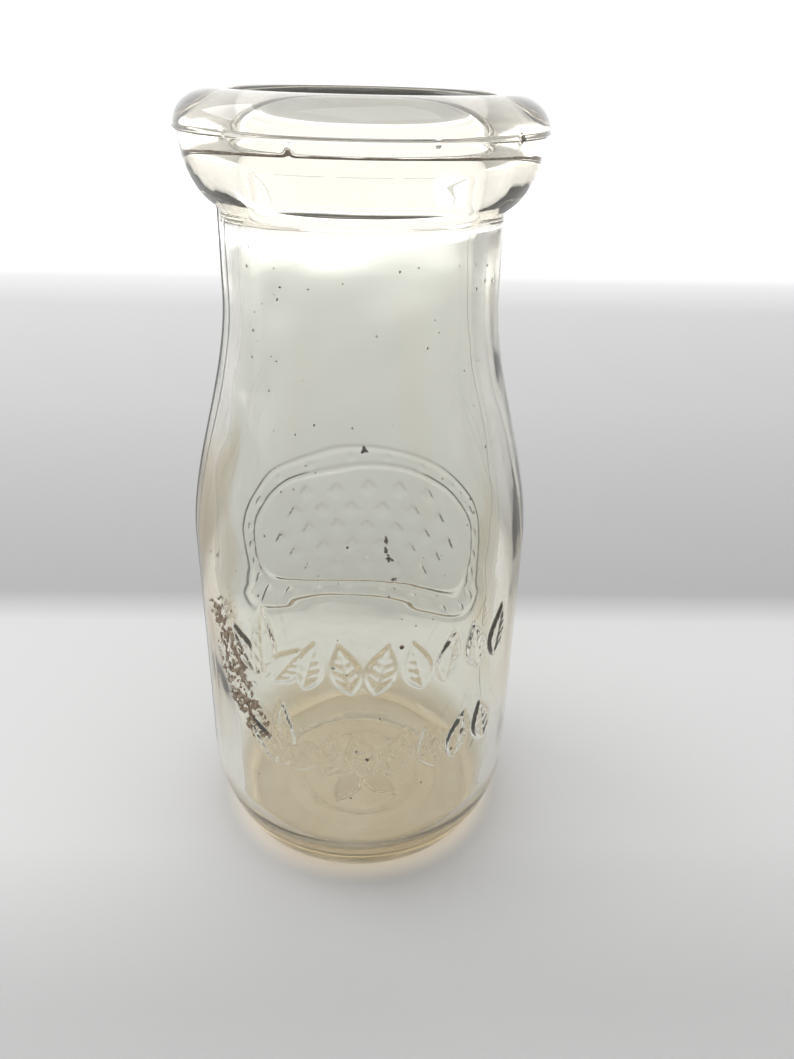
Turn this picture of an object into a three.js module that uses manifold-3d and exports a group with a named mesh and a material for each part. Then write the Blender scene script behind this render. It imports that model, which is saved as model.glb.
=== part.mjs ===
// Half-pint milk bottle: one piece of pressed and blown glass, open at the mouth, no moving parts.
// Millimetres, +Z up, origin at the centre of the resting ring, decorated front towards -Y.
import * as THREE from 'three';
import { mergeVertices } from 'three/addons/utils/BufferGeometryUtils.js';
import Module from 'manifold-3d';

const wasm = await Module();
wasm.setup();

// Outside of the bottle
const bottleHeight = 139;
const bodyRadius = 31;
const neckRadius = 23;
const lipRadius = 28.8;        // at the parting line, the widest place of the lip
const lipHeight = 5.2;         // parting line up to the crown of the lip
const collarHeight = 11.2;     // under the lip, down to the neck
const neckLength = 12.9;
const shoulderLength = 45.6;
const heelHeight = 14.1;
const heelRoundness = 1.5;     // 2 is an ellipse, 1 is a straight chamfer
const collarRoundness = 1.6;

// Glass thickness and foot
const wallThickness = 3.6;
const floorThickness = 3.6;    // at the middle of the base
const floorRounding = 9;       // height over which the inner wall turns into the floor
const flatFloorRadius = 21.5;
const footRadius = 25.4;       // outer edge of the resting ring
const footWidth = 4.6;
const footRecess = 1.1;
const footSlope = 5;           // inner edge of the resting ring to the recess

// Mouth, sized by the paper disc that closed it
const capDiscRadius = 20.65;
const capClearance = 0.45;
const seatWidth = 1.5;
const seatDepth = 7.2;         // crown of the lip down to the cap seat
const crownRounding = 1.5;     // from the crown into the bore
const throatLength = 4;
const throatTaper = 4;

// Raised lines of the mould
const seamHeight = 0.25;
const seamWidth = 0.9;

// Raised decoration
const reliefHeight = 0.5;
const reliefBite = 1;          // how deep each raised form is rooted in the glass
const lowerRowRise = 14.7;     // top of the heel up to the lower row
const rowPitch = 19;
const leafHeight = 9.9;
const leafWidth = 4.6;
const leafLean = 12;           // degrees, to the right and left in turn
const bouquetHeight = 14.4;
const leafPitch = 11.5;        // degrees round the body
const upperLeaves = 7;
const lowerLeaves = 6;
const emblemTurn = 168;        // degrees from the front, counter-clockwise from above
const emblemRise = 33.6;       // top of the heel up to the emblem's middle
const emblemHalfWidth = 36;
const emblemHalfHeight = 19.8;
const emblemSquareness = 2.8;  // 2 is an ellipse, more is nearer a rectangle
const emblemBand = 4.4;        // between the two lines of its frame
const emblemRelief = 0.5;
const emblemLineWidth = 1.2;
const emblemBeads = 24;
const beadLength = 1.8;
const diamondRows = 5;
const diamondsInMiddle = 7;
const diamondPitch = 7.6;      // between neighbours in a row
const diamondRowPitch = 5;
const diamondWidth = 4.4;
const diamondHeight = 5.4;
const baseRingRadius = 12.5;
const baseRingRise = 0.4;
const basePetals = 5;
const basePetalLength = 9;

const segments = 64;
const partingLevel = bottleHeight - lipHeight;
const collarFoot = partingLevel - collarHeight;
const shoulderTop = collarFoot - neckLength;
const shoulderFoot = shoulderTop - shoulderLength;
const boreRadius = capDiscRadius + capClearance;
const seatLevel = bottleHeight - seatDepth;
const throatRadius = boreRadius - seatWidth;
const glassColor = 0xdfe6dc;

function steps(count) {
  return Array.from({ length: count + 1 }, (_, i) => i / count);
}

// Quarter of a rounded corner: 0 at t = 0, 1 at t = 1, steep first and level at the end.
function rounded(t, power) {
  return (1 - (1 - t) ** power) ** (1 / power);
}

// S-shaped change from 0 to 1 with level ends.
function eased(t) {
  return t * t * (3 - 2 * t);
}

// Outside of the heel, straight body, shoulder and neck, as [radius, height].
function outerWall() {
  const heel = steps(5).map((s) => {
    const t = s * s;
    return [footRadius + (bodyRadius - footRadius) * rounded(t, heelRoundness), heelHeight * t];
  });
  const shoulder = steps(8).map((t) =>
    [bodyRadius - (bodyRadius - neckRadius) * eased(t), shoulderFoot + shoulderLength * t]);
  return [...heel, ...shoulder];
}

// Collar, lip with its parting ridge, and mouth, from the neck round to the cap seat.
function finish() {
  const ridge = seamHeight;
  const crownRadius = boreRadius + crownRounding;
  const collar = steps(5).map((s) => {
    const t = 1 - (1 - s) ** 2;
    return [neckRadius + (lipRadius - neckRadius) * rounded(t, collarRoundness),
      collarFoot + (collarHeight - ridge) * t];
  });
  const lip = steps(6).map((t) => {
    const turn = t * Math.PI / 2;
    return [crownRadius + (lipRadius - crownRadius) * Math.cos(turn),
      partingLevel + ridge + (lipHeight - ridge) * Math.sin(turn)];
  });
  return [
    ...collar,
    [lipRadius + ridge, partingLevel],
    ...lip,
    [boreRadius + 0.3 * crownRounding, bottleHeight - 0.3 * crownRounding],
    [boreRadius, bottleHeight - crownRounding],
    [boreRadius, seatLevel],
  ];
}

// Cap seat, throat, inner wall and floor, down to the axis.
function innerWall() {
  const neckBore = neckRadius - wallThickness;
  const bodyBore = bodyRadius - wallThickness;
  const floorLevel = footRecess + floorThickness;
  const shoulder = steps(6).map((t) =>
    [neckBore + (bodyBore - neckBore) * eased(t), shoulderTop - shoulderLength * t]);
  const bowl = steps(5).map((t) => {
    const turn = t * Math.PI / 2;
    return [flatFloorRadius + (bodyBore - flatFloorRadius) * Math.cos(turn),
      floorLevel + floorRounding * (1 - Math.sin(turn))];
  });
  return [
    [throatRadius, seatLevel],
    [throatRadius, seatLevel - throatLength],
    [neckBore, seatLevel - throatLength - throatTaper],
    ...shoulder,
    ...bowl,
    [0, floorLevel],
  ];
}

// Underside: recessed disc with one raised ring, and the slope down to the resting ring.
function underside() {
  return [
    [0, footRecess],
    [baseRingRadius - 2 * baseRingRise, footRecess],
    [baseRingRadius, footRecess - baseRingRise],
    [baseRingRadius + 2 * baseRingRise, footRecess],
    [footRadius - footWidth - footSlope, footRecess],
    [footRadius - footWidth, 0],
  ];
}

// Turns any closed geometry into a manifold solid.
function solidFrom(geometry) {
  geometry.deleteAttribute('normal');
  geometry.deleteAttribute('uv');
  const merged = mergeVertices(geometry, 1e-4);
  const index = merged.index.array;
  const triangles = [];
  for (let i = 0; i < index.length; i += 3) {
    const [a, b, c] = [index[i], index[i + 1], index[i + 2]];
    if (a !== b && b !== c && c !== a) triangles.push(a, b, c);
  }
  return new wasm.Manifold(new wasm.Mesh({
    numProp: 3,
    vertProperties: new Float32Array(merged.attributes.position.array),
    triVerts: new Uint32Array(triangles),
  }));
}

// Joins sections of equal point count into one closed surface; a loop has no end caps.
function skin(sections, loop) {
  const across = sections[0].length;
  const index = [];
  const joins = loop ? sections.length : sections.length - 1;
  for (let i = 0; i < joins; i++) {
    const here = i * across;
    const next = ((i + 1) % sections.length) * across;
    for (let j = 0; j < across; j++) {
      const k = (j + 1) % across;
      index.push(here + j, next + k, here + k, here + j, next + j, next + k);
    }
  }
  if (!loop) {
    const last = (sections.length - 1) * across;
    for (let j = 1; j < across - 1; j++) {
      index.push(0, j, j + 1, last, last + j + 1, last + j);
    }
  }
  const geometry = new THREE.BufferGeometry();
  const points = sections.flat().flatMap((p) => p.toArray());
  geometry.setAttribute('position', new THREE.Float32BufferAttribute(points, 3));
  geometry.setIndex(index);
  return geometry;
}

// Radius of the outer wall at a height.
function wallRadiusAt(height) {
  const wall = outerWall();
  const above = Math.max(1, wall.findIndex(([, z]) => z >= height));
  const [[r0, z0], [r1, z1]] = [wall[above - 1], wall[above]];
  return r0 + (r1 - r0) * (height - z0) / (z1 - z0);
}

// Place on the body: u round it to the right, v up, h out of the surface.
function onBody(turn, foot) {
  return (u, v, h) => {
    const angle = THREE.MathUtils.degToRad(turn) + u / bodyRadius;
    const radius = wallRadiusAt(foot + v) + h;
    return new THREE.Vector3(radius * Math.sin(angle), -radius * Math.cos(angle), foot + v);
  };
}

// Place on the recessed underside, where a form stands out downwards.
function onBase(u, v, h) {
  return new THREE.Vector3(-u, v, footRecess - h);
}

// One leaf with a raised midrib, growing from (u, v) at a lean from upright.
function leaf(place, u, v, lean, length, width, spans) {
  const angle = THREE.MathUtils.degToRad(lean);
  const along = [Math.sin(angle), Math.cos(angle)];
  const sections = steps(spans).map((t) => {
    const half = 0.5 * width * Math.sin(Math.PI * t ** 0.8);
    const at = (side, h) => place(
      u + along[0] * length * t + along[1] * side,
      v + along[1] * length * t - along[0] * side, h);
    return [
      at(-half, 0.5 * reliefHeight), at(-1.2 * half, -reliefBite),
      at(1.2 * half, -reliefBite), at(half, 0.5 * reliefHeight), at(0, reliefHeight),
    ];
  });
  return skin(sections, false);
}

// Leaves in a fan from one foot, the middle one the longest.
function fan(place, count, spread, height, width) {
  return steps(count - 1).map((t) => {
    const side = 2 * t - 1;
    return leaf(place, side * width * 0.4, 0, side * spread, height * (1 - 0.35 * Math.abs(side)),
      width, 5);
  });
}

// A row on the front: a three-leaf bouquet, then single leaves at an even pitch, centred as a whole.
function frontRow(foot, leaves) {
  const start = -0.5 * (leaves + 1.8) * leafPitch;
  const forms = fan(onBody(start + 0.9 * leafPitch, foot), 3, 34, bouquetHeight, leafWidth);
  for (let i = 0; i < leaves; i++) {
    const place = onBody(start + (i + 2.3) * leafPitch, foot);
    const lean = i % 2 ? -leafLean : leafLean;
    const offset = -0.5 * leafHeight * Math.sin(THREE.MathUtils.degToRad(lean));
    forms.push(leaf(place, offset, 0, lean, leafHeight, leafWidth, 5));
  }
  return forms;
}

// Point on a rounded rectangle of the given half-width and half-height, at t of a turn.
function roundedPanel(halfWidth, halfHeight, t) {
  const along = Math.cos(t * 2 * Math.PI);
  const up = Math.sin(t * 2 * Math.PI);
  const reach = (Math.abs(along) ** emblemSquareness + Math.abs(up) ** emblemSquareness)
    ** (-1 / emblemSquareness);
  return [halfWidth * along * reach, halfHeight * up * reach];
}

// Raised line round the emblem.
function panelLine(place, halfWidth, halfHeight) {
  const sections = steps(36).slice(0, -1).map((t) => {
    const at = (offset, h) => place(
      ...roundedPanel(halfWidth + offset, halfHeight + offset, t), h);
    return [at(0.7 * emblemLineWidth, -reliefBite), at(0.35 * emblemLineWidth, emblemRelief),
      at(-0.35 * emblemLineWidth, emblemRelief), at(-0.7 * emblemLineWidth, -reliefBite)];
  });
  return skin(sections, true);
}

// One diamond point: a low four-sided pyramid centred on (u, v).
function diamond(place, u, v) {
  const corners = (scale, h) => [[1, 0], [0, -1], [-1, 0], [0, 1]].map(([across, up]) => place(
    u + 0.5 * diamondWidth * scale * across, v + 0.5 * diamondHeight * scale * up, h));
  return skin([corners(1.3, -reliefBite), corners(0.08, emblemRelief)], false);
}

// Rows of diamond points in a lozenge: each row away from the middle has one fewer.
function diamondField(place) {
  const forms = [];
  for (let i = 0; i < diamondRows; i++) {
    const fromMiddle = i - 0.5 * (diamondRows - 1);
    const count = diamondsInMiddle - Math.abs(fromMiddle);
    for (let j = 0; j < count; j++) {
      forms.push(diamond(place, (j - 0.5 * (count - 1)) * diamondPitch,
        fromMiddle * diamondRowPitch));
    }
  }
  return forms;
}

// The emblem on the back: a frame of two lines with beads between them, round diamond points.
function emblem() {
  const middle = heelHeight + emblemRise;
  const place = onBody(emblemTurn, middle);
  const forms = [
    panelLine(place, emblemHalfWidth, emblemHalfHeight),
    panelLine(place, emblemHalfWidth - emblemBand, emblemHalfHeight - emblemBand),
  ];
  for (let i = 0; i < emblemBeads; i++) {
    const [u, v] = roundedPanel(emblemHalfWidth - 0.5 * emblemBand,
      emblemHalfHeight - 0.5 * emblemBand, (i + 0.5) / emblemBeads);
    forms.push(leaf(place, u, v - 0.5 * beadLength, 0, beadLength, 0.8 * beadLength, 2));
  }
  forms.push(...diamondField(place));
  return forms;
}

// Petals in the middle of the underside.
function baseRosette() {
  return steps(basePetals).slice(1).map((t) => {
    const turn = t * 360;
    const angle = THREE.MathUtils.degToRad(turn);
    return leaf(onBase, 1.6 * Math.sin(angle), 1.6 * Math.cos(angle), turn, basePetalLength, 3.2, 4);
  });
}

// Seam left by the two halves of the mould, up one side from the heel to the collar.
function sideSeam(side) {
  const stations = outerWall().filter(([, z]) => z > 0.1 * heelHeight);
  stations.push([neckRadius, collarFoot + 0.5]);
  const sections = stations.map(([r, z]) => [
    new THREE.Vector3(side * (r - reliefBite), -side * seamWidth, z),
    new THREE.Vector3(side * (r - reliefBite), side * seamWidth, z),
    new THREE.Vector3(side * (r + seamHeight), 0, z),
  ]);
  return skin(sections, false);
}

function glassMaterial() {
  return new THREE.MeshStandardMaterial({
    color: glassColor, roughness: 0.05, metalness: 0, transparent: true, opacity: 0.35,
  });
}

function makeGlassBottle() {
  const outline = [...underside(), ...outerWall(), ...finish(), ...innerWall()];
  const turned = new THREE.LatheGeometry(
    outline.map(([r, z]) => new THREE.Vector2(r, z)), segments);
  turned.rotateX(Math.PI / 2);
  let glass = solidFrom(turned);
  const lowerRow = heelHeight + lowerRowRise;
  const raised = [
    ...frontRow(lowerRow, lowerLeaves), ...frontRow(lowerRow + rowPitch, upperLeaves),
    ...emblem(), ...baseRosette(), sideSeam(1), sideSeam(-1),
  ];
  for (const form of raised) glass = glass.add(solidFrom(form));
  const mesh = glass.getMesh();
  const geometry = new THREE.BufferGeometry();
  geometry.setAttribute('position', new THREE.BufferAttribute(mesh.vertProperties, 3));
  geometry.setIndex(new THREE.BufferAttribute(mesh.triVerts, 1));
  geometry.computeVertexNormals();
  const bottle = new THREE.Mesh(geometry, glassMaterial());
  bottle.name = 'glass_bottle';
  return bottle;
}

const group = new THREE.Group();
group.name = 'milk_bottle';
group.add(makeGlassBottle());

export default group;
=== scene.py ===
import math
import bpy
import numpy as np
from mathutils import Matrix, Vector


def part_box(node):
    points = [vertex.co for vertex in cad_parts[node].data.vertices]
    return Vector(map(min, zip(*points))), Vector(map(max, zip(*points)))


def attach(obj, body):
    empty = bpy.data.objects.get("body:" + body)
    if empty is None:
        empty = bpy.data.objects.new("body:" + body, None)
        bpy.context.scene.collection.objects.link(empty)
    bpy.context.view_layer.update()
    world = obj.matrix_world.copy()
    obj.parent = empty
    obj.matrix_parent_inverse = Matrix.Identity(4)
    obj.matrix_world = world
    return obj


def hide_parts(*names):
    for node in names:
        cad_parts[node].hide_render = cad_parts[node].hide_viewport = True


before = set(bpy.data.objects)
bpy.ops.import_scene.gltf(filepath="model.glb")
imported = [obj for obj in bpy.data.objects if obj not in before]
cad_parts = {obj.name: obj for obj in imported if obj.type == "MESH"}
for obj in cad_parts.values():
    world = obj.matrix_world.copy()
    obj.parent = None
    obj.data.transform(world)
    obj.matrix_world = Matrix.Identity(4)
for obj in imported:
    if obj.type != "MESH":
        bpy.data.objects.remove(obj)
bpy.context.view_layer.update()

mm = 0.001
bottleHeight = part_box("glass_bottle")[1][2] / mm
random = np.random.default_rng(7)


# sRGB hex to linear: c / 12.92 below 0.04045, else ((c + 0.055) / 1.055) ^ 2.4.
def linearColor(code):
    c = np.array([int(code[i:i + 2], 16) for i in (1, 3, 5)]) / 255
    c = np.where(c <= 0.04045, c / 12.92, ((c + 0.055) / 1.055) ** 2.4)
    return (*[float(x) for x in c], 1.0)


# One node: settings are its own properties, values its sockets, links {socket: source}, and
# stops the (place, color) pairs of a color ramp.
def addNode(tree, kind, settings=None, values=None, links=None, stops=None):
    node = tree.nodes.new(kind)
    for name, value in (settings or {}).items():
        setattr(node, name, value)
    for name, value in (values or {}).items():
        node.inputs[name].default_value = value
    for name, source in (links or {}).items():
        tree.links.new(source, node.inputs[name])
    if stops:
        elements = node.color_ramp.elements
        while len(elements) < len(stops):
            elements.new(0.5)
        for element, (place, color) in zip(elements, stops):
            element.position = place
            element.color = color if len(color) == 4 else (*color, 1)
    return node


def newMaterial(name):
    material = bpy.data.materials.new(name)
    material.use_nodes = True
    material.node_tree.nodes.clear()
    return material, material.node_tree


# S curve 3t^2 - 2t^3 of t held between 0 and 1.
def smooth(t):
    t = np.clip(t, 0, 1)
    return t * t * (3 - 2 * t)


# Quarter of a rounded corner: (1 - (1 - t)^p)^(1/p).
def rounded(t, power):
    return (1 - (1 - np.clip(t, 0, 1)) ** power) ** (1 / power)


def steps(count):
    return np.linspace(0, 1, count + 1)


# Random values 0 to 1 on a square lattice of the given size, blended with an S curve.
def lattice(u, v, size, seed):
    draw = np.random.default_rng(seed).random((64, 64))
    a, b = u / size, v / size
    i, j = np.floor(a).astype(int), np.floor(b).astype(int)
    s, t = smooth(a - i), smooth(b - j)
    i, j = i % 63, j % 63
    return (draw[i, j] * (1 - s) + draw[i + 1, j] * s) * (1 - t) + \
        (draw[i, j + 1] * (1 - s) + draw[i + 1, j + 1] * s) * t


# Sum of sines round the axis and along it, each with a seeded phase; about -1 to 1.
def waves(angle, height, terms, longest, seed):
    draw = np.random.default_rng(seed)
    total = np.zeros(np.broadcast(angle, height).shape)
    for k in range(terms):
        turns = draw.integers(0, 7)
        pitch = longest / (1 + 2.5 * draw.random())
        phase = draw.random(2) * 2 * math.pi
        total += np.sin(turns * angle + phase[0] + 2 * math.pi * height / pitch) * \
            np.cos(2 * math.pi * height / (pitch * 1.7) + phase[1])
    return total / math.sqrt(terms)


bottle = {
    "bodyRadius": 31.0, "neckRadius": 23.0, "lipRadius": 28.8, "lipHeight": 5.2,
    "collarHeight": 11.2, "neckLength": 12.9, "shoulderLength": 45.6,
    "heelHeight": 14.1, "heelRoundness": 1.5, "collarRoundness": 1.6,
    "wall": 3.6, "floor": 3.6, "floorRounding": 9.0, "flatFloor": 21.5,
    "footRadius": 25.4, "footWidth": 4.6, "footRecess": 1.1, "footSlope": 5.0,
    "bore": 21.1, "seatWidth": 1.5, "seatDepth": 7.2, "crownRounding": 1.5,
    "throatLength": 4.0, "throatTaper": 4.0,
    "corner": 0.14,          # small round left on each sharp corner by fire polishing
    "ridge": 0.25,           # parting line round the lip and seams up the sides
    "innerWave": 0.10, "outerWave": 0.03,   # hand-made unevenness of the walls
    "innerLongest": 70, "outerLongest": 60,     # longest of those waves, mm
    "floorWave": 0.35,       # unevenness of the floor inside
    "fineRow": 0.33,         # grid spacing in the two front bands and at the seams
    "reliefRow": 0.55, "emblemColumn": 0.62, "plainColumn": 2.7,    # and elsewhere
    "seamHalf": 0.34,        # half width of a seam
    # small nicks on the lip: angle, height from the parting line, size, depth
    "nicks": ((-27, -0.7, 0.7, 0.2), (-77, -0.5, 0.8, 0.3), (-71, 0.2, 0.6, 0.25),
              (12, -0.1, 0.5, 0.22), (41, 0.1, 0.6, 0.25), (-48, 0.0, 0.5, 0.2)),
    "lean": (-0.55, 0.1),    # how far the inner wall is off centre in the neck and shoulder
}

relief = {
    "height": 0.42, "edge": 0.62, "lowerRise": 14.7, "rowPitch": 19.0,
    "leafHeight": 9.9, "leafWidth": 4.6, "leafLean": 12.0, "bouquet": 14.4,
    "leafPitch": 11.5, "upper": 7, "lower": 6,
    "emblemTurn": 168.0, "emblemRise": 33.6, "emblemHalfWidth": 36.0,
    "emblemHalfHeight": 19.8, "emblemSquareness": 2.8, "emblemHeight": 0.38,
    "diamondRows": 5, "diamonds": 7, "diamondPitch": 7.6, "diamondRowPitch": 5.0,
    "diamondWidth": 4.4, "diamondHeight": 5.4,
    "emblemBand": 4.4, "emblemLine": 1.2, "beads": 24,
    "petals": 5, "petalLength": 9.0, "petalHeight": 0.6, "petalEdge": 1.5,
    "ring": 12.5, "ringRise": 0.4,
}


# Half section of the glass as (radius, height), from the middle of the underside, out
# over the resting ring, up the outside, over the lip and down the inside to the floor.
def bottleSection():
    b = bottle
    parting = bottleHeight - b["lipHeight"]
    collarFoot = parting - b["collarHeight"]
    shoulderTop = collarFoot - b["neckLength"]
    shoulderFoot = shoulderTop - b["shoulderLength"]
    seat = bottleHeight - b["seatDepth"]
    throat = b["bore"] - b["seatWidth"]
    neckBore = b["neckRadius"] - b["wall"]
    bodyBore = b["bodyRadius"] - b["wall"]
    floorLevel = b["footRecess"] + b["floor"]
    crown = b["bore"] + b["crownRounding"]
    c = b["corner"]
    parts = []

    def add(radius, height):
        parts.append(np.column_stack(np.broadcast_arrays(radius, height)))

    recessEdge = b["footRadius"] - b["footWidth"] - b["footSlope"]
    add(np.linspace(0.6, recessEdge, 20), b["footRecess"])
    t = steps(3)
    add(recessEdge + b["footSlope"] * t[1:], b["footRecess"] * (1 - smooth(t[1:])))
    add(np.array([b["footRadius"] - 2.4, b["footRadius"] - 0.5]), 0.0)
    t = steps(13) ** 2
    add(b["footRadius"] + (b["bodyRadius"] - b["footRadius"]) * rounded(t, b["heelRoundness"]),
        b["heelHeight"] * t)
    add(b["bodyRadius"], np.linspace(b["heelHeight"], b["heelHeight"] + 12.6, 5)[1:])
    reliefFoot = b["heelHeight"] + 12.6
    reliefTop = b["heelHeight"] + relief["emblemRise"] + relief["emblemHalfHeight"] + 1.4
    lowerRow = b["heelHeight"] + relief["lowerRise"]
    upperRow = lowerRow + relief["rowPitch"]
    spaced = np.linspace(reliefFoot, reliefTop, 800)
    inRow = smooth((0.5 * relief["bouquet"] + 1.5 - np.minimum(
        np.abs(spaced - lowerRow - 0.5 * relief["bouquet"]),
        np.abs(spaced - upperRow - 0.5 * relief["bouquet"]))) / 1.0)
    gap = b["reliefRow"] - (b["reliefRow"] - b["fineRow"]) * inRow[:-1]
    run = np.concatenate([[0], np.cumsum(1 / gap)])
    count = int(run[-1] * (spaced[1] - spaced[0]))
    height = np.interp(steps(count)[1:] * run[-1], run, spaced)
    blend = smooth((height - shoulderFoot) / b["shoulderLength"])
    add(b["bodyRadius"] - (b["bodyRadius"] - b["neckRadius"]) * blend, height)
    height = np.linspace(reliefTop, shoulderTop, 23)[1:]
    blend = smooth((height - shoulderFoot) / b["shoulderLength"])
    add(b["bodyRadius"] - (b["bodyRadius"] - b["neckRadius"]) * blend, height)
    add(b["neckRadius"], np.linspace(shoulderTop, collarFoot - c, 6)[1:])
    t = 1 - (1 - steps(13)[1:]) ** 2
    add(b["neckRadius"] + (b["lipRadius"] - b["neckRadius"]) * rounded(t, b["collarRoundness"]),
        collarFoot + (b["collarHeight"] - b["ridge"]) * t)
    add(b["lipRadius"] + b["ridge"] * np.array([0.75, 1.0, 0.75]),
        parting + 0.5 * b["ridge"] * np.array([-1, 0, 1]))
    turn = steps(15) * math.pi / 2
    add(crown + (b["lipRadius"] - crown) * np.cos(turn),
        parting + b["ridge"] + (b["lipHeight"] - b["ridge"]) * np.sin(turn))
    turn = steps(5)[1:] * math.pi / 2
    add(crown - b["crownRounding"] * np.sin(turn),
        bottleHeight - b["crownRounding"] * (1 - np.cos(turn)))
    add(b["bore"], np.linspace(bottleHeight - b["crownRounding"], seat + c, 5)[1:])
    add(np.array([b["bore"] - c, throat + 2 * c, throat + 0.6 * c]), seat)
    add(throat, np.array([seat - c, seat - 0.5 * b["throatLength"], seat - b["throatLength"]]))
    t = steps(4)[1:]
    add(throat + (neckBore - throat) * smooth(t), seat - b["throatLength"] - b["throatTaper"] * t)
    add(neckBore, np.linspace(seat - b["throatLength"] - b["throatTaper"], shoulderTop, 5)[1:])
    t = steps(18)[1:]
    add(neckBore + (bodyBore - neckBore) * smooth(t), shoulderTop - b["shoulderLength"] * t)
    add(bodyBore, np.linspace(shoulderFoot, floorLevel + b["floorRounding"], 8)[1:])
    turn = steps(14)[1:] * math.pi / 2
    add(b["flatFloor"] + (bodyBore - b["flatFloor"]) * np.cos(turn),
        floorLevel + b["floorRounding"] * (1 - np.sin(turn)))
    add(np.linspace(b["flatFloor"], 0.8, 8)[1:], floorLevel)
    rows = np.concatenate(parts)
    outside = int(np.argmax(rows[:, 1] >= bottleHeight - 1e-6))     # rows up to the crown
    return rows, outside


# Angles round the bottle from the front (-Y) towards +X, close together where there is
# relief or a seam: equal steps of the running sum of 1 / spacing.
def columnAngles():
    angle = np.radians(np.linspace(-180, 180, 7201))
    arc = bottle["bodyRadius"]

    def near(centre, half, soft):
        away = np.abs((angle - math.radians(centre) + math.pi) % (2 * math.pi) - math.pi) * arc
        return 1 - smooth((away - half) / soft)

    spacing = bottle["plainColumn"] * np.ones_like(angle)
    fine = bottle["fineRow"]
    for centre, half, gap in ((0, 31, fine), (relief["emblemTurn"], 37, bottle["emblemColumn"]),
                              (90, 1.2, fine), (-90, 1.2, fine)):
        weight = near(centre, half, 4)
        spacing = spacing * (1 - weight) + np.minimum(spacing, gap) * weight
    run = np.concatenate([[0], np.cumsum(1 / spacing[:-1])])
    run /= run[-1]
    total = 2 * int(0.5 * np.sum(np.diff(angle) * arc / spacing[:-1]))
    return np.interp(np.arange(total) / total, run, angle)


# A raised leaf: flat top inside |across| < half width, width W/2 sin(pi t^0.8) along it,
# soft edges, and a groove down the midrib with side veins.
def leafForm(u, v, foot, lean, length, width):
    turn = math.radians(lean)
    du, dv = u - foot[0], v - foot[1]
    along = du * math.sin(turn) + dv * math.cos(turn)
    across = du * math.cos(turn) - dv * math.sin(turn)
    t = np.clip(along / length, 0, 1)
    half = 0.5 * width * np.sin(math.pi * t ** 0.8) + 0.12
    inside = np.minimum(half - np.abs(across), np.minimum(along, length - along) + 0.12)
    top = smooth(inside / relief["edge"] + 0.5)
    vein = np.exp(-(across / 0.32) ** 2)
    slant = (along - 0.9 * np.abs(across)) / (0.2 * length)
    side = np.exp(-((slant - np.round(slant)) / 0.17) ** 2) * smooth(inside / 0.9)
    return top * (1 - 0.55 * np.maximum(vein, 0.6 * side) * smooth(inside / 0.8))


def fanForm(u, v, foot, count, spread, height, width):
    form = np.zeros(np.broadcast(u, v).shape)
    for side in np.linspace(-1, 1, count):
        form = np.maximum(form, leafForm(
            u, v, (foot[0] + side * width * 0.4, foot[1]), side * spread,
            height * (1 - 0.35 * abs(side)), width))
    return form


# Blunt diamond points in a lozenge: S curve of 1 - |u| / (w / 2) - |v| / (h / 2), steep at
# the edge, and each row away from the middle has one fewer.
def diamondForm(u, v):
    r = relief
    form = np.zeros(np.broadcast(u, v).shape)
    for fromMiddle in np.arange(r["diamondRows"]) - 0.5 * (r["diamondRows"] - 1):
        count = r["diamonds"] - abs(fromMiddle)
        slot = np.round(u / r["diamondPitch"] + 0.5 * (count - 1))
        du = u - (np.clip(slot, 0, count - 1) - 0.5 * (count - 1)) * r["diamondPitch"]
        dv = v - fromMiddle * r["diamondRowPitch"]
        form = np.maximum(form, 1 - np.abs(du) / (0.5 * r["diamondWidth"]) -
                          np.abs(dv) / (0.5 * r["diamondHeight"]))
    return smooth(form / 0.42)


# The two bands on the front: a three-leaf bouquet, then leaves that lean by turns.
def frontForms(angle, height):
    r = relief
    u = angle * bottle["bodyRadius"]
    form = np.zeros(np.broadcast(u, height).shape)
    pitch = math.radians(r["leafPitch"]) * bottle["bodyRadius"]
    for foot, leaves in ((bottle["heelHeight"] + r["lowerRise"], r["lower"]),
                         (bottle["heelHeight"] + r["lowerRise"] + r["rowPitch"], r["upper"])):
        start = -0.5 * (leaves + 1.8) * pitch
        form = np.maximum(form, fanForm(u, height, (start + 0.9 * pitch, foot), 3, 34,
                                        r["bouquet"], r["leafWidth"]))
        for i in range(leaves):
            lean = -r["leafLean"] if i % 2 else r["leafLean"]
            offset = -0.5 * r["leafHeight"] * math.sin(math.radians(lean))
            form = np.maximum(form, leafForm(
                u, height, (start + (i + 2.3) * pitch + offset, foot), lean,
                r["leafHeight"], r["leafWidth"]))
    return form


# Rounded rectangle |u / a|^n + |v / b|^n = 1, at an angle round its middle.
def panelPoint(halfWidth, halfHeight, turn):
    n = relief["emblemSquareness"]
    c, d = np.cos(turn), np.sin(turn)
    reach = (np.abs(c) ** n + np.abs(d) ** n) ** (-1 / n)
    return halfWidth * c * reach, halfHeight * d * reach


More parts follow.
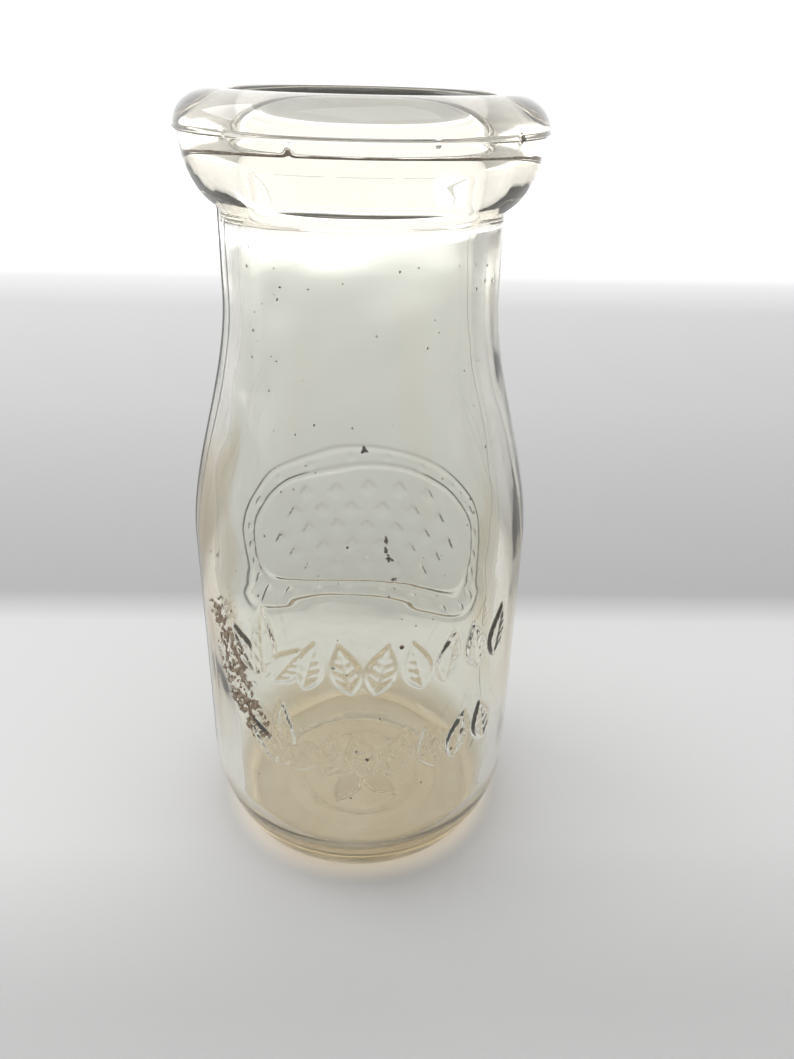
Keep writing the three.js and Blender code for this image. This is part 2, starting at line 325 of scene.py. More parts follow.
# The emblem on the back: a frame of two lines, beads between them and diamond points.
# The distance to a line is (reach - 1) / |slope of reach|, reach = (|u/a|^n + |v/b|^n)^(1/n).
def emblemForms(angle, height):
    r = relief
    n = r["emblemSquareness"]
    turn = (angle - math.radians(r["emblemTurn"]) + math.pi) % (2 * math.pi) - math.pi
    u = turn * bottle["bodyRadius"]
    v = height - (bottle["heelHeight"] + r["emblemRise"])
    form = np.zeros(np.broadcast(u, v).shape)
    for inset in (0, r["emblemBand"]):
        a, b = r["emblemHalfWidth"] - inset, r["emblemHalfHeight"] - inset
        p, q = np.abs(u / a), np.abs(v / b)
        reach = np.maximum((p ** n + q ** n) ** (1 / n), 1e-6)
        slope = np.hypot((p / reach) ** (n - 1) / a, (q / reach) ** (n - 1) / b)
        away = np.abs(reach - 1) / np.maximum(slope, 1e-6)
        form = np.maximum(form, smooth((0.5 * r["emblemLine"] - away) / r["edge"] + 0.5))
    for i in range(r["beads"]):
        bu, bv = panelPoint(r["emblemHalfWidth"] - 0.5 * r["emblemBand"],
                            r["emblemHalfHeight"] - 0.5 * r["emblemBand"],
                            (i + 0.5) / r["beads"] * 2 * math.pi)
        bead = 1 - ((u - bu) / 0.9) ** 2 - ((v - bv) / 1.1) ** 2
        form = np.maximum(form, np.clip(bead, 0, 1) ** 0.5)
    return np.maximum(form, diamondForm(u, v))


# Under the base: a soft ring and five soft petals, standing out downwards.
def baseForms(radius, angle):
    r = relief
    x, y = -radius * np.sin(angle), -radius * np.cos(angle)
    form = smooth(1 - np.abs(radius - r["ring"]) / (3 * r["ringRise"])) * r["ringRise"]
    for i in range(r["petals"]):
        turn = math.radians((i + 1) / r["petals"] * 360)
        du, dv = x - 1.6 * math.sin(turn), y - 1.6 * math.cos(turn)
        along = du * math.sin(turn) + dv * math.cos(turn)
        across = du * math.cos(turn) - dv * math.sin(turn)
        t = np.clip(along / r["petalLength"], 0, 1)
        half = 2.6 * np.sin(math.pi * t ** 0.8)
        inside = np.minimum(half - np.abs(across),
                            np.minimum(along, r["petalLength"] - along) + 0.4)
        form = np.maximum(form, r["petalHeight"] * smooth(inside / r["petalEdge"] + 0.4))
    return form


# A mesh from a grid of points [row, column, xyz] that closes round its columns, with one
# pole before the first row and one after the last. Rows fineFrom to fineTo use every column
# and the others every second one; a strip of three triangles for two columns joins them.
def closedGrid(name, points, first, last, fineFrom, fineTo):
    rows, columns = points.shape[:2]
    vertices = np.concatenate([points.reshape(-1, 3), [first, last]])
    pole = rows * columns

    def strip(low, high, step):
        i, j = np.meshgrid(np.arange(low, high), np.arange(0, columns, step), indexing="ij")
        k = (j + step) % columns
        return np.stack([i * columns + j, i * columns + k, (i + 1) * columns + k,
                         (i + 1) * columns + j], axis=-1).reshape(-1, 4)

    quads = np.concatenate([strip(0, fineFrom - 1, 2), strip(fineFrom, fineTo, 1),
                            strip(fineTo + 1, rows - 1, 2)])
    j = np.arange(0, columns, 2)
    m, k = j + 1, (j + 2) % columns
    low, high = (fineFrom - 1) * columns, fineFrom * columns
    upper, top = fineTo * columns, (fineTo + 1) * columns
    base = (rows - 1) * columns
    triangles = np.concatenate([np.stack(corners, axis=-1) for corners in (
        (low + j, low + k, high + m), (low + k, high + k, high + m), (low + j, high + m, high + j),
        (upper + j, upper + m, top + j), (upper + m, upper + k, top + k),
        (upper + m, top + k, top + j),
        (np.full(len(j), pole), k, j), (base + j, base + k, np.full(len(j), pole + 1)))])
    used, index = np.unique(np.concatenate([quads.ravel(), triangles.ravel()]),
                            return_inverse=True)
    print(name, "triangles", 2 * len(quads) + len(triangles))
    return newMesh(name, vertices[used], index[:quads.size].reshape(-1, 4),
                   index[quads.size:].reshape(-1, 3))


def newMesh(name, vertices, quads, triangles):
    mesh = bpy.data.meshes.new(name)
    mesh.vertices.add(len(vertices))
    mesh.vertices.foreach_set("co", (vertices * mm).astype(np.float32).ravel())
    loops = np.concatenate([quads.ravel(), triangles.ravel()]).astype(np.int32)
    sizes = np.concatenate([np.full(len(quads), 4), np.full(len(triangles), 3)])
    mesh.loops.add(len(loops))
    mesh.loops.foreach_set("vertex_index", loops)
    mesh.polygons.add(len(sizes))
    mesh.polygons.foreach_set("loop_start", np.concatenate([[0], np.cumsum(sizes)[:-1]]))
    mesh.update(calc_edges=True)
    mesh.validate()
    mesh.shade_smooth()
    piece = bpy.data.objects.new(name, mesh)
    bpy.context.scene.collection.objects.link(piece)
    return piece


film = {
    "clear": (0.995, 0.993, 0.98), "misted": (0.968, 0.982, 0.944), "stainAndShade": (0.76, 0.65, 0.45),
    "mist": 0.14,            # strength of the milky film below the neck's top, and where it ends
    "mistHeight": (116, 124),
    # window of angle and height (from, to) and strength: left side, right side; dried film there is
    # also painted shade, darkening and browning the bands at the wall's edges
    "filmAndShadePatches": (((-112, -68), (24, 84), 0.95), ((56, 100), (28, 70), 0.8)),
    "floorStrength": 0.52, "floorHeight": (5, 15),       # full below the first, none above
    "heelStrength": 0.55, "heelRadius": (22, 27), "heelHeight": (3, 13),
    "sideSoft": 0.14, "heightSoft": 8,                   # radians and mm, edges of the patches
    "wornRoughness": 0.55, "wornHeight": (0.2, 1.6),     # resting ring, frosted by wear
    "glassTint": (0.84, 0.64, 0.12, 1.0), "glassDensity": 10.0,
    "noiseSize": 11.0,       # blotchiness of the film
    "clearness": 0.965,      # the rest is haze: fine scratches and dust on old glass
}


# Soda-lime glass, pressed and blown and then fire polished: clear, with a faint peach tint
# where it is thick, and a glossy, slightly uneven skin, but frosted on the worn resting ring.
# A thin dried film, warmer in colour, lies on the floor, round the heel and up both sides, and
# a fainter one below the neck's top; up both sides it is also painted shade on the bands at the
# wall's edges. Film = sum of S-curve windows of radius, angle and height, times noise; roughness
# is an S curve of the height above the resting ring.
def pressedGlass():
    material, tree = newMaterial("pressed_soda_lime_glass")
    place = addNode(tree, "ShaderNodeTexCoord")
    split = addNode(tree, "ShaderNodeSeparateXYZ", None, None, {0: place.outputs["Object"]})

    # 1 from low to high and 0 outside, with S-shaped edges
    def between(source, low, high, soft):
        rise = addNode(tree, "ShaderNodeMapRange", {"interpolation_type": "SMOOTHSTEP"},
                       {"From Min": low - soft, "From Max": low + soft}, {"Value": source})
        fall = addNode(tree, "ShaderNodeMapRange", {"interpolation_type": "SMOOTHSTEP"},
                       {"From Min": high + soft, "From Max": high - soft}, {"Value": source})
        return addNode(tree, "ShaderNodeMath", {"operation": "MULTIPLY"}, None,
                       {0: rise.outputs[0], 1: fall.outputs[0]}).outputs[0]

    front = addNode(tree, "ShaderNodeMath", {"operation": "MULTIPLY"}, {1: -1.0},
                    {0: split.outputs["Y"]})
    turn = addNode(tree, "ShaderNodeMath", {"operation": "ARCTAN2"}, None,
                   {0: split.outputs["X"], 1: front.outputs[0]})
    blotch = addNode(tree, "ShaderNodeTexNoise", {"noise_dimensions": "3D"},
                     {"Scale": 1 / (film["noiseSize"] * mm), "Detail": 2.0, "Roughness": 0.5},
                     {"Vector": place.outputs["Object"]})
    patchy = addNode(tree, "ShaderNodeMapRange", None,
                     {"From Min": 0.35, "From Max": 0.65, "To Min": 0.65, "To Max": 1.0},
                     {"Value": blotch.outputs["Fac"]})
    total = addNode(tree, "ShaderNodeMapRange", {"interpolation_type": "SMOOTHSTEP"},
                    {"From Min": film["floorHeight"][1] * mm, "From Max": film["floorHeight"][0] * mm,
                     "To Min": 0.0, "To Max": film["floorStrength"]},
                    {"Value": split.outputs["Z"]})
    misted = addNode(tree, "ShaderNodeMapRange", {"interpolation_type": "SMOOTHSTEP"},
                     {"From Min": film["mistHeight"][1] * mm, "From Max": film["mistHeight"][0] * mm,
                      "To Min": 0.0, "To Max": film["mist"]}, {"Value": split.outputs["Z"]})
    flat = addNode(tree, "ShaderNodeVectorMath", {"operation": "MULTIPLY"}, {1: (1, 1, 0)},
                   {0: place.outputs["Object"]})
    fromAxis = addNode(tree, "ShaderNodeVectorMath", {"operation": "LENGTH"}, None,
                       {0: flat.outputs[0]})
    rim = addNode(tree, "ShaderNodeMapRange", {"interpolation_type": "SMOOTHSTEP"},
                  {"From Min": film["heelRadius"][0] * mm, "From Max": film["heelRadius"][1] * mm},
                  {"Value": fromAxis.outputs["Value"]})
    low = addNode(tree, "ShaderNodeMapRange", {"interpolation_type": "SMOOTHSTEP"},
                  {"From Min": film["heelHeight"][1] * mm, "From Max": film["heelHeight"][0] * mm,
                   "To Min": 0.0, "To Max": film["heelStrength"]}, {"Value": split.outputs["Z"]})
    total = addNode(tree, "ShaderNodeMath", {"operation": "ADD"}, None,
                    {0: total.outputs[0], 1: misted.outputs[0]})
    total = addNode(tree, "ShaderNodeMath", {"operation": "MULTIPLY_ADD"}, None,
                    {0: rim.outputs[0], 1: low.outputs[0], 2: total.outputs[0]})
    # side windows: dried film and painted shade on the wall's edge bands
    for angles, heights, strength in film["filmAndShadePatches"]:
        spot = addNode(tree, "ShaderNodeMath", {"operation": "MULTIPLY"}, None, {
            0: between(turn.outputs[0], *[math.radians(x) for x in angles], film["sideSoft"]),
            1: between(split.outputs["Z"], *[x * mm for x in heights], film["heightSoft"] * mm)})
        total = addNode(tree, "ShaderNodeMath", {"operation": "MULTIPLY_ADD"}, {1: strength},
                        {0: spot.outputs[0], 2: total.outputs[0]})
    amount = addNode(tree, "ShaderNodeMath", {"operation": "MULTIPLY"}, None,
                     {0: total.outputs[0], 1: patchy.outputs[0]})
    tone = addNode(tree, "ShaderNodeValToRGB", None, None, {"Fac": amount.outputs[0]},
                   [(0.0, film["clear"]), (film["mist"], film["misted"]), (1.0, film["stainAndShade"])])
    ripple = addNode(tree, "ShaderNodeTexNoise", {"noise_dimensions": "3D"},
                     {"Scale": 1 / (9 * mm), "Detail": 1.0, "Roughness": 0.4},
                     {"Vector": place.outputs["Object"]})
    bump = addNode(tree, "ShaderNodeBump", None, {"Strength": 0.12, "Distance": 0.35 * mm},
                   {"Height": ripple.outputs["Fac"]})
    worn = addNode(tree, "ShaderNodeMapRange", {"interpolation_type": "SMOOTHSTEP"},
                   {"From Min": film["wornHeight"][1] * mm, "From Max": film["wornHeight"][0] * mm,
                    "To Min": 0.0, "To Max": film["wornRoughness"]},
                   {"Value": split.outputs["Z"]})
    surface = addNode(tree, "ShaderNodeBsdfPrincipled", None,
                      {"IOR": 1.52, "Transmission Weight": film["clearness"]},
                      {"Base Color": tone.outputs[0], "Normal": bump.outputs["Normal"],
                       "Roughness": worn.outputs[0]})
    tint = addNode(tree, "ShaderNodeVolumeAbsorption", None,
                   {"Color": film["glassTint"], "Density": film["glassDensity"]})
    addNode(tree, "ShaderNodeOutputMaterial", None, None,
            {"Surface": surface.outputs["BSDF"], "Volume": tint.outputs["Volume"]})
    return material


def makeBottle():
    rows, crown = bottleSection()
    angle = columnAngles()[None, :]
    radius, height = rows[:, :1], rows[:, 1:]
    row = np.arange(len(rows))[:, None]
    outer = row < crown
    partingLevel = bottleHeight - bottle["lipHeight"]
    heelRow = int(np.argmax(rows[:, 1] > 0.4 * bottle["heelHeight"]))
    radius = np.broadcast_to(radius, (len(rows), angle.shape[1])).copy()
    height = np.broadcast_to(height, radius.shape).copy()

    onBody = outer & (row > heelRow)
    wave = waves(angle, height, 9, bottle["outerLongest"], 3)
    keep = smooth((height - 16) / 20) * smooth((bottleHeight - 9 - height) / 12)
    radius -= np.where(onBody, bottle["outerWave"] * (1 + wave) * keep, 0)
    inner = (~outer) & (height < bottleHeight - bottle["seatDepth"] - 6)
    wave = waves(angle, height, 12, bottle["innerLongest"], 5)
    keep = smooth((bottleHeight - bottle["seatDepth"] - 6 - height) / 8)
    radius += np.where(inner, bottle["innerWave"] * wave * keep * smooth(radius / 12), 0)

    forms = np.maximum(relief["height"] * frontForms(angle, height),
                       relief["emblemHeight"] * emblemForms(angle, height))
    radius += np.where(onBody & (height < 70), forms, 0)
    seam = np.exp(-((np.abs(angle) - math.pi / 2) * radius / bottle["seamHalf"]) ** 2)
    fade = smooth((height - 2) / 4) * (height < partingLevel - 10)
    radius += np.where(outer & (row > 24), bottle["ridge"] * seam * fade, 0)
    chips = waves(angle * 9, height * 0 + 3, 12, 7, 11)
    ridgeRows = outer & (np.abs(height - partingLevel) < 0.6 * bottle["ridge"])
    radius -= np.where(ridgeRows, bottle["ridge"] * smooth((chips - 0.6) / 0.8) * 1.6, 0)

    for turn, rise, size, depth in bottle["nicks"]:
        away = np.hypot((angle - math.radians(turn)) * bottle["lipRadius"],
                        height - partingLevel - rise)
        radius -= np.where(outer & (height > partingLevel - 6), depth * smooth(1.3 - away / size), 0)

    under = row < 20
    drop = baseForms(radius, angle)
    height -= np.where(under, drop, 0)
    floorRows = (~outer) & (height < 24)
    uneven = bottle["floorWave"] * waves(angle, radius * 2, 8, 40, 8) * smooth(radius / 6)
    height += np.where(floorRows, uneven, 0)

    points = np.stack([radius * np.sin(angle), -radius * np.cos(angle), height], axis=-1)
    lean = np.where(inner, smooth((height - 20) / 40) *
                    smooth((bottleHeight - bottle["seatDepth"] - 6 - height) / 8), 0)
    points[..., 0] += bottle["lean"][0] * lean
    points[..., 1] += bottle["lean"][1] * lean
    first = (0, 0, float(points[0, :, 2].mean()))
    last = (0, 0, float(points[-1, :, 2].mean()))
    piece = closedGrid("pressed_bottle", points, first, last, 22, crown + 3)
    piece.data.materials.append(pressedGlass())
    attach(piece, "root")
    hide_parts("glass_bottle")
    return piece


# Outer and inner radius of the glass wall at a height, from its half section.
def wallRadii(height):
    rows, crown = bottleSection()
    outer = rows[22:crown + 1]
    inner = rows[crown + 12:][::-1]
    return np.interp(height, outer[:, 1], outer[:, 0]), np.interp(height, inner[:, 1], inner[:, 0])


residue = {
    "path": ((-60.5, 56), (-54.5, 46), (-48, 36.5)),   # angle and height along its middle
    "halfWidth": 5.3, "cell": 0.16, "coverage": 0.49, "thick": 0.10,
    "noise": ((0.34, 2.0, 21), (0.34, 0.75, 22), (0.32, 0.36, 23)),   # share, size, seed
    "fade": 0.30,            # how much sparser it is at its sides than along its middle
    "edge": 0.12, "lift": 0.03, "root": 0.06,
}


# Dried, flaking dirt on the left of the body: on a fine grid over the glass, a cell is
# kept where three layers of noise stay above a level that rises with the distance from the
# middle line; its top stands out by up to 0.1 mm and its bottom is set into the glass.
def makeResidue():
    r = residue
    path = np.array(r["path"], float)
    low, high = path.min(axis=0), path.max(axis=0)
    arc = bottle["bodyRadius"] * math.pi / 180
    across = np.arange((low[0] * arc) - 6, high[0] * arc + 6, r["cell"])
    up = np.arange(low[1] - 4, high[1] + 4, r["cell"])
    u, v = np.meshgrid(across, up, indexing="ij")
    away = np.full(u.shape, 99.0)
    for (a0, h0), (a1, h1) in zip(path[:-1], path[1:]):
        du, dv = (a1 - a0) * arc, h1 - h0
        t = np.clip(((u - a0 * arc) * du + (v - h0) * dv) / (du * du + dv * dv), 0, 1)
        away = np.minimum(away, np.hypot(u - a0 * arc - t * du, v - h0 - t * dv))
    slants = ((u + 0.5 * v, v), (u, v - 0.6 * u), (u, v))
    value = 0
    for (share, size, seed), (p, q) in zip(r["noise"], slants):
        value = value + share * lattice(p, q, size, seed)
    above = value - r["coverage"] - r["fade"] * (away / r["halfWidth"]) ** 2
    keep = above[:-1, :-1] > 0
    keep[:1] = keep[-1:] = keep[:, :1] = keep[:, -1:] = False

    angle = u / bottle["bodyRadius"]
    skin = wallRadii(v)[0] + relief["height"] * frontForms(angle, v)
    top = skin + r["lift"] + r["thick"] * smooth(above / r["edge"])
    wide = u.shape[1]
    layers = [np.stack([rad * np.sin(angle), -rad * np.cos(angle), v], axis=-1).reshape(-1, 3)
              for rad in (top, skin - r["root"])]
    i, j = np.nonzero(keep)
    a, b, c, d = i * wide + j, (i + 1) * wide + j, (i + 1) * wide + j + 1, i * wide + j + 1
    count = u.size
    quads = [np.stack([a, b, c, d], axis=1), np.stack([d, c, b, a], axis=1) + count]
    for (di, dj), (p, q) in (((0, -1), (a, b)), ((1, 0), (b, c)), ((0, 1), (c, d)), ((-1, 0), (d, a))):
        edge = ~keep[i + di, j + dj]
        quads.append(np.stack([p, p + count, q + count, q], axis=1)[edge])
    quads = np.concatenate(quads)
    used, quads = np.unique(quads, return_inverse=True)
    piece = newMesh("dried_residue", np.concatenate(layers)[used], quads.reshape(-1, 4),
                    np.zeros((0, 3), int))
    piece.data.materials.append(dirtAndPaintedShade())
    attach(piece, "root")
    print("residue:", len(quads), "quads")


# Dried dirt on the residue, and painted shade in the ring above the cap seat: dull, mottled from dark
# to pale grey-brown, with a gritty surface. Colour and height both follow one noise of 0.7 mm.
def dirtAndPaintedShade():
    material, tree = newMaterial("dirt_and_painted_shade")
    place = addNode(tree, "ShaderNodeTexCoord")
    grit = addNode(tree, "ShaderNodeTexNoise", {"noise_dimensions": "3D"},
                   {"Scale": 1 / (0.7 * mm), "Detail": 4.0, "Roughness": 0.65},
                   {"Vector": place.outputs["Object"]})
    tone = addNode(tree, "ShaderNodeValToRGB", None, None, {"Fac": grit.outputs["Fac"]},
                   [(0.30, linearColor("#5a4c3d")), (0.5, linearColor("#8c7b68")),
                    (0.72, linearColor("#c4b6a2"))])
    bump = addNode(tree, "ShaderNodeBump", None, {"Strength": 0.6, "Distance": 0.1 * mm},
                   {"Height": grit.outputs["Fac"]})
    surface = addNode(tree, "ShaderNodeBsdfPrincipled", None, {"Roughness": 0.85},
                      {"Base Color": tone.outputs[0], "Normal": bump.outputs["Normal"]})
    addNode(tree, "ShaderNodeOutputMaterial", None, None, {"Surface": surface.outputs["BSDF"]})
    return material


specks = {
    # angle, height, size along, size up: the larger ones, in lumps of a few
    "lumps": ((171, 67.9, 0.75, 0.7), (158.5, 45.2, 0.6, 1.0), (158, 42.6, 0.5, 0.9),
              (156.5, 40.6, 0.9, 0.8), (153.5, 35.5, 0.7, 0.6)),
    "dots": ((4.9, 57.0, 0.42), (-5.6, 33.0, 0.38)),
    "fine": 90, "fineSize": (0.07, 0.2),
    "seeds": 60, "seedSize": (0.12, 0.3),
}


# Small flattened lumps: unit spheres scaled along, up and outwards, each turned to its
# place on the wall. Rows hold angle, height, radius, three sizes and a seed for its shape.
def makeLumps(name, material, rows):
    rows = np.array(rows, float)
    ring, turn = np.meshgrid(np.linspace(0, math.pi, 6)[1:-1],
                             np.arange(8) / 8 * 2 * math.pi, indexing="ij")
    unit = np.stack([np.sin(ring) * np.cos(turn), np.sin(ring) * np.sin(turn),
                     np.cos(ring)], axis=-1).reshape(-1, 3)
    unit = np.concatenate([unit, [[0, 0, 1], [0, 0, -1]]])
    draw = np.random.default_rng(31)
    rough = 1 + rows[:, None, 6:7] * (draw.random((len(rows), len(unit), 1)) - 0.5)
    local = unit[None] * rough * rows[:, None, 3:6]
    angle = np.radians(rows[:, 0])[:, None]
    along = np.stack([np.cos(angle), np.sin(angle), 0 * angle], axis=-1)
    out = np.stack([np.sin(angle), -np.cos(angle), 0 * angle], axis=-1)
    up = np.array([0.0, 0.0, 1.0])
    points = local[..., :1] * along + local[..., 1:2] * up + \
        (local[..., 2:] + rows[:, 2][:, None, None]) * out + rows[:, 1][:, None, None] * up
    i, j = np.meshgrid(np.arange(3), np.arange(8), indexing="ij")
    k = (j + 1) % 8
    quads = np.stack([i * 8 + j, (i + 1) * 8 + j, (i + 1) * 8 + k, i * 8 + k], -1).reshape(-1, 4)
    j = np.arange(8)
    k = (j + 1) % 8
    caps = np.concatenate([np.stack([np.full(8, 32), j, k], -1),
                           np.stack([24 + k, 24 + j, np.full(8, 33)], -1)])
    shift = (np.arange(len(rows)) * len(unit))[:, None, None]
    piece = newMesh(name, points.reshape(-1, 3), (quads[None] + shift).reshape(-1, 4),
                    (caps[None] + shift).reshape(-1, 3))
    piece.data.materials.append(material)
    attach(piece, "root")
    print(name, len(rows))


def makeSpecks():
    rows = []
    for angle, height, wide, tall in specks["lumps"]:
        inner = float(wallRadii(height)[1])
        for _ in range(9):
            a, h = random.normal(0, 0.55, 2)
            size = random.uniform(0.25, 0.62)
            rows.append((angle + math.degrees(a * wide / inner), height + h * tall, inner - 0.04,
                         size * wide, size * tall, 0.16, 0.8))
    for angle, height, size in specks["dots"]:
        rows.append((angle, height, float(wallRadii(height)[0]) + 0.06, size, size, 0.2, 0.15))
    for _ in range(specks["fine"]):
        height = random.uniform(20, 118)
        size = random.uniform(*specks["fineSize"])
        rows.append((random.uniform(-180, 180), height, float(wallRadii(height)[1]) - 0.02,
                     size, size * random.uniform(0.6, 1.6), 0.08, 0.7))
    makeLumps("dirt_specks", darkSpecks(), rows)
    rows = []
    for _ in range(specks["seeds"]):
        height = random.uniform(22, 120)
        outer, inner = [float(x) for x in wallRadii(height)]
        size = random.uniform(*specks["seedSize"])
        rows.append((random.uniform(-180, 180), height, random.uniform(inner + 0.6, outer - 0.6),
                     size, 1.2 * size, size, 0.0))
    makeLumps("trapped_seeds", trappedSeeds(), rows)


# Specks of soot and old dirt: dull, almost black to brown by a noise of 3.5 mm.
def darkSpecks():
    material, tree = newMaterial("soot_specks")
    place = addNode(tree, "ShaderNodeTexCoord")
    grit = addNode(tree, "ShaderNodeTexNoise", {"noise_dimensions": "3D"},
                   {"Scale": 1 / (3.5 * mm), "Detail": 2.0}, {"Vector": place.outputs["Object"]})
    tone = addNode(tree, "ShaderNodeValToRGB", None, None, {"Fac": grit.outputs["Fac"]},
                   [(0.4, linearColor("#2a2622")), (0.62, linearColor("#75604d"))])
    surface = addNode(tree, "ShaderNodeBsdfPrincipled", None, {"Roughness": 0.8},
                      {"Base Color": tone.outputs[0]})
    addNode(tree, "ShaderNodeOutputMaterial", None, None, {"Surface": surface.outputs["BSDF"]})
    return material


# Seeds, tiny gas bubbles in the glass, with painted glints: their tone goes from grey to white by a
# noise of 0.2 mm, standing in for the light that their walls mirror.
def trappedSeeds():
    material, tree = newMaterial("bubble_painted_glint")
    place = addNode(tree, "ShaderNodeTexCoord")
    shade = addNode(tree, "ShaderNodeTexNoise", {"noise_dimensions": "3D"},
                    {"Scale": 1 / (0.2 * mm), "Detail": 1.0}, {"Vector": place.outputs["Object"]})
    # painted glint: grey to near white
    tone = addNode(tree, "ShaderNodeValToRGB", None, None, {"Fac": shade.outputs["Fac"]},
                   [(0.35, linearColor("#b9b7ae")), (0.6, linearColor("#fbfbf7"))])
    surface = addNode(tree, "ShaderNodeBsdfPrincipled", None,
                      {"Roughness": 0.05, "Transmission Weight": 0.4, "IOR": 1.3},
                      {"Base Color": tone.outputs[0]})
    addNode(tree, "ShaderNodeOutputMaterial", None, None, {"Surface": surface.outputs["BSDF"]})
    return material


# size of the ring of painted shade above the cap seat
seatShade = {"columns": 360, "width": 0.55, "height": 0.20}


# Painted shade in the corner above the cap seat, dirt-coloured: a wedge 0.55 mm wide and 0.2 mm high
# at most, width and height times noise round the ring. Section: corner, out along the seat, up.
def makeSeatShade():
    angle = np.linspace(0, 2 * math.pi, seatShade["columns"], endpoint=False)[None, :]
    much = 0.65 + 0.35 * smooth(lattice(angle * 9, angle * 0, 1, 41) * 1.6 - 0.2)
    seat = bottleHeight - bottle["seatDepth"]
    wide, tall = seatShade["width"] * much, seatShade["height"] * much
    radius = np.concatenate([bottle["bore"] + 0.03 + 0 * much, bottle["bore"] - wide,
                             bottle["bore"] - 0.45 * wide, bottle["bore"] + 0.03 + 0 * much])
    height = seat + np.concatenate([-0.02 + 0 * much, -0.02 + 0 * much, 0.55 * tall, tall])
    points = np.stack([radius * np.sin(angle), -radius * np.cos(angle), height], axis=-1)
    columns = seatShade["columns"]
    i, j = np.meshgrid(np.arange(4), np.arange(columns), indexing="ij")
    k, n = (j + 1) % columns, (i + 1) % 4
    quads = np.stack([i * columns + j, n * columns + j, n * columns + k, i * columns + k], -1)
    piece = newMesh("seat_painted_shade", points.reshape(-1, 3), quads.reshape(-1, 4),
                    np.zeros((0, 3), int))
    piece.data.materials.append(dirtAndPaintedShade())
    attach(piece, "root")


studio = {
    "heading": 10.31,        # degrees the camera is turned to the left of the bottle's front
    "camera": (-19.68, -146.48, 142.92), "down": 28.40, "roll": 1.46, "lens": 29.46,
    "floorHalf": 3.0,        # metres
    "gap": 0.04,             # mm of air under the resting ring, so that glass and paper part
    "floorReach": (-0.3, 1.0),         # metres in front of and behind the bottle
    # tone of the paper by distance behind the bottle: painted shade, darker in front and in a band
    # just behind it, and painted light, paler towards the back
    "floorPaintedShadeAndLight": ((-0.3, 0.45), (-0.055, 0.50), (-0.02, 0.645), (0.060, 0.62), (0.076, 0.39),
                  (0.14, 0.44), (0.24, 0.52), (0.43, 0.60), (0.95, 0.86)),
    # glow of the paper by distance behind the bottle: painted light, the far floor glowing up to white
    "floorPaintedLight": ((0.0, 0.0), (0.24, 0.0), (0.42, 0.015), (0.50, 0.16), (0.60, 0.7), (0.8, 1.7)),
    "underPaintedLight": (0.33, 0.28, 0.21),  # painted light: the paper under the glass glows, standing in for the light that the glass gathers there
    "underRadius": (25.5, 31),
    "room": (0.50, 1.30), "roomTurn": (-0.7, 0.8),    # strength in front and behind, and where
    "sky": 0.12, "skyRise": (0.25, 0.9),              # added overhead, and where it begins
    # name, place and size in metres, watts
    "lamps": (("soft_box_left", (-0.55, 0.25, 0.65), (0.5, 0.35), 1.6),
              ("soft_box_top", (0.05, -0.1, 0.9), (0.6, 0.6), 1.2)),
}


# Forward f from heading and tilt; right and up are turned about f by the roll.
def makeCamera():
    heading, down = math.radians(studio["heading"]), math.radians(studio["down"])
    roll = math.radians(studio["roll"])
    f = np.array([math.sin(heading) * math.cos(down), math.cos(heading) * math.cos(down),
                  -math.sin(down)])
    level = np.array([math.cos(heading), -math.sin(heading), 0.0])
    upright = np.cross(level, f)
    right = math.cos(roll) * level + math.sin(roll) * upright
    up = -math.sin(roll) * level + math.cos(roll) * upright
    data = bpy.data.cameras.new("camera")
    data.lens, data.sensor_width, data.clip_start = studio["lens"], 36.0, 0.01
    camera = bpy.data.objects.new("camera", data)
    bpy.context.scene.collection.objects.link(camera)
    columns = [right, up, -f, np.array(studio["camera"]) * mm]
    camera.matrix_world = Matrix([[*map(float, r)] for r in np.array(columns).T] + [[0, 0, 0, 1]])
    bpy.context.scene.camera = camera


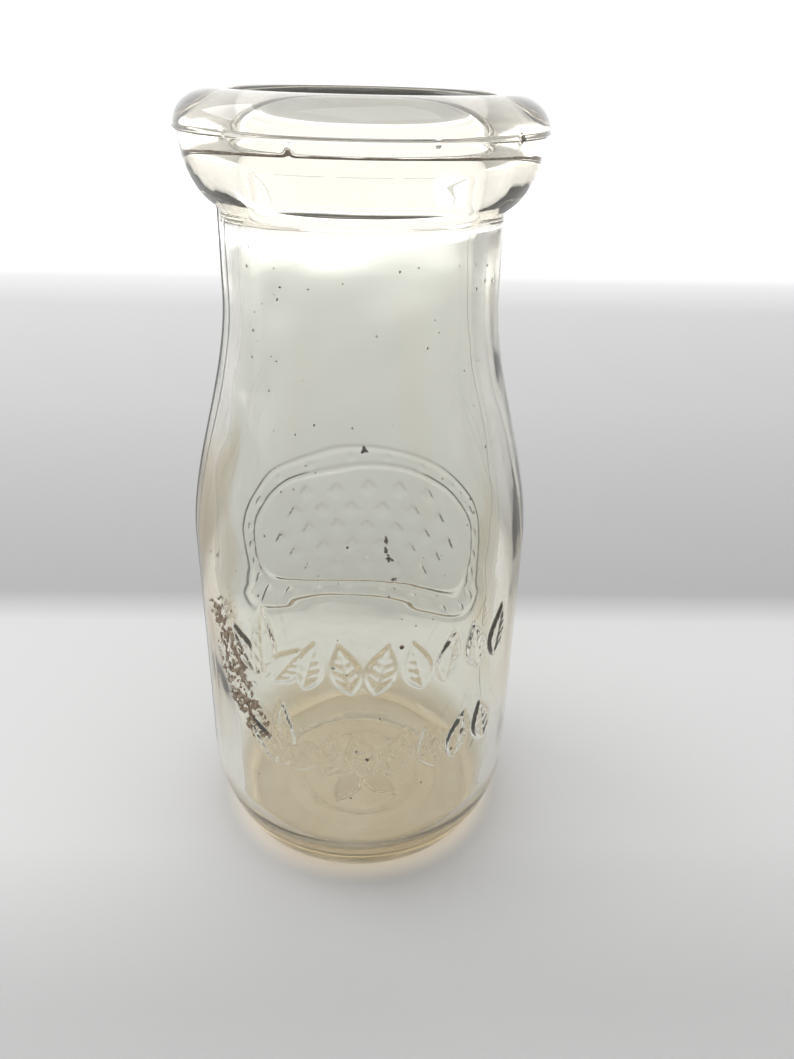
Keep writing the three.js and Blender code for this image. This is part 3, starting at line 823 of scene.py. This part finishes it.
# A pale paper floor with painted light and shade: tone and glow are straight lines between the stops
# above, by distance behind the bottle. Its tone is painted shade that darkens softly just behind it
# and grows paler further back, and its glow is painted light that brightens the far floor to white; a
# disc under the bottle glows with painted light.
def makeFloor():
    half = studio["floorHalf"] / mm
    level = -studio["gap"]
    corners = np.array([[-half, -half, level], [half, -half, level], [half, half, level],
                        [-half, half, level]])
    floor = newMesh("paper_floor", corners, np.array([[0, 1, 2, 3]]),
                    np.zeros((0, 3), int))
    material, tree = newMaterial("paper_with_painted_shade_and_light")
    place = addNode(tree, "ShaderNodeTexCoord")
    turned = addNode(tree, "ShaderNodeMapping", {"vector_type": "POINT"},
                     {"Rotation": (0, 0, math.radians(studio["heading"] - 2))},
                     {"Vector": place.outputs["Object"]})
    split = addNode(tree, "ShaderNodeSeparateXYZ", None, None, {0: turned.outputs["Vector"]})
    front, back = studio["floorReach"]
    reach = addNode(tree, "ShaderNodeMapRange", {"clamp": True},
                    {"From Min": front, "From Max": back}, {"Value": split.outputs["Y"]})

    color, glow = [addNode(tree, "ShaderNodeValToRGB", None, None, {"Fac": reach.outputs[0]}, [
        ((distance - front) / (back - front), (grey, grey, grey)) for distance, grey in stops])
        for stops in (studio["floorPaintedShadeAndLight"], studio["floorPaintedLight"])]
    # painted light: the disc under the bottle glows, fading out between the two radii
    away = addNode(tree, "ShaderNodeVectorMath", {"operation": "LENGTH"}, None,
                   {0: place.outputs["Object"]})
    disc = addNode(tree, "ShaderNodeMapRange", {"interpolation_type": "SMOOTHSTEP"},
                   {"From Min": studio["underRadius"][1] * mm,
                    "From Max": studio["underRadius"][0] * mm}, {"Value": away.outputs["Value"]})
    under = addNode(tree, "ShaderNodeValToRGB", None, None, {"Fac": disc.outputs[0]},
                    [(0.0, (0, 0, 0)), (1.0, studio["underPaintedLight"])])
    both = addNode(tree, "ShaderNodeVectorMath", {"operation": "ADD"}, None,
                   {0: glow.outputs[0], 1: under.outputs[0]})
    surface = addNode(tree, "ShaderNodeBsdfPrincipled", None,
                      {"Roughness": 0.9, "Specular IOR Level": 0.2, "Emission Strength": 1.0},
                      {"Base Color": color.outputs[0], "Emission Color": both.outputs[0]})
    addNode(tree, "ShaderNodeOutputMaterial", None, None, {"Surface": surface.outputs[0]})
    floor.data.materials.append(material)


# Soft room light: bright above and behind, darker on the camera's side.
def makeWorld():
    world = bpy.data.worlds.new("studio")
    bpy.context.scene.world = world
    world.use_nodes = True
    tree = world.node_tree
    tree.nodes.clear()
    place = addNode(tree, "ShaderNodeTexCoord")
    split = addNode(tree, "ShaderNodeSeparateXYZ", None, None, {0: place.outputs["Generated"]})
    behind = addNode(tree, "ShaderNodeMapRange", {"interpolation_type": "SMOOTHSTEP"},
                     {"From Min": studio["roomTurn"][0], "From Max": studio["roomTurn"][1],
                      "To Min": studio["room"][0], "To Max": studio["room"][1]},
                     {"Value": split.outputs["Y"]})
    above = addNode(tree, "ShaderNodeMapRange", {"interpolation_type": "SMOOTHSTEP"},
                    {"From Min": studio["skyRise"][0], "From Max": studio["skyRise"][1],
                     "To Min": 0.0, "To Max": studio["sky"]},
                    {"Value": split.outputs["Z"]})
    total = addNode(tree, "ShaderNodeMath", {"operation": "ADD"}, None,
                    {0: behind.outputs[0], 1: above.outputs[0]})
    light = addNode(tree, "ShaderNodeBackground", None, {"Color": (1, 1, 1, 1)},
                    {"Strength": total.outputs[0]})
    addNode(tree, "ShaderNodeOutputWorld", None, None, {"Surface": light.outputs[0]})


# A soft box at place in metres, facing the middle of the bottle.
def areaLight(name, place, size, power):
    data = bpy.data.lights.new(name, "AREA")
    data.shape, data.size, data.size_y, data.energy = "RECTANGLE", size[0], size[1], power
    lamp = bpy.data.objects.new(name, data)
    bpy.context.scene.collection.objects.link(lamp)
    back = np.array(place) - np.array([0, 0, 0.07])
    back = back / np.linalg.norm(back)
    side = np.cross([0, 0, 1], back)
    side = side / np.linalg.norm(side)
    columns = [side, np.cross(back, side), back, np.array(place)]
    lamp.matrix_world = Matrix([[*map(float, r)] for r in np.array(columns).T] + [[0, 0, 0, 1]])


makeBottle()
makeResidue()
makeSpecks()
makeSeatShade()
makeFloor()
makeWorld()
for lamp in studio["lamps"]:
    areaLight(*lamp)
makeCamera()
view = bpy.context.scene.view_settings
view.view_transform, view.look = "Standard", "None"
print("stage, light and camera made")
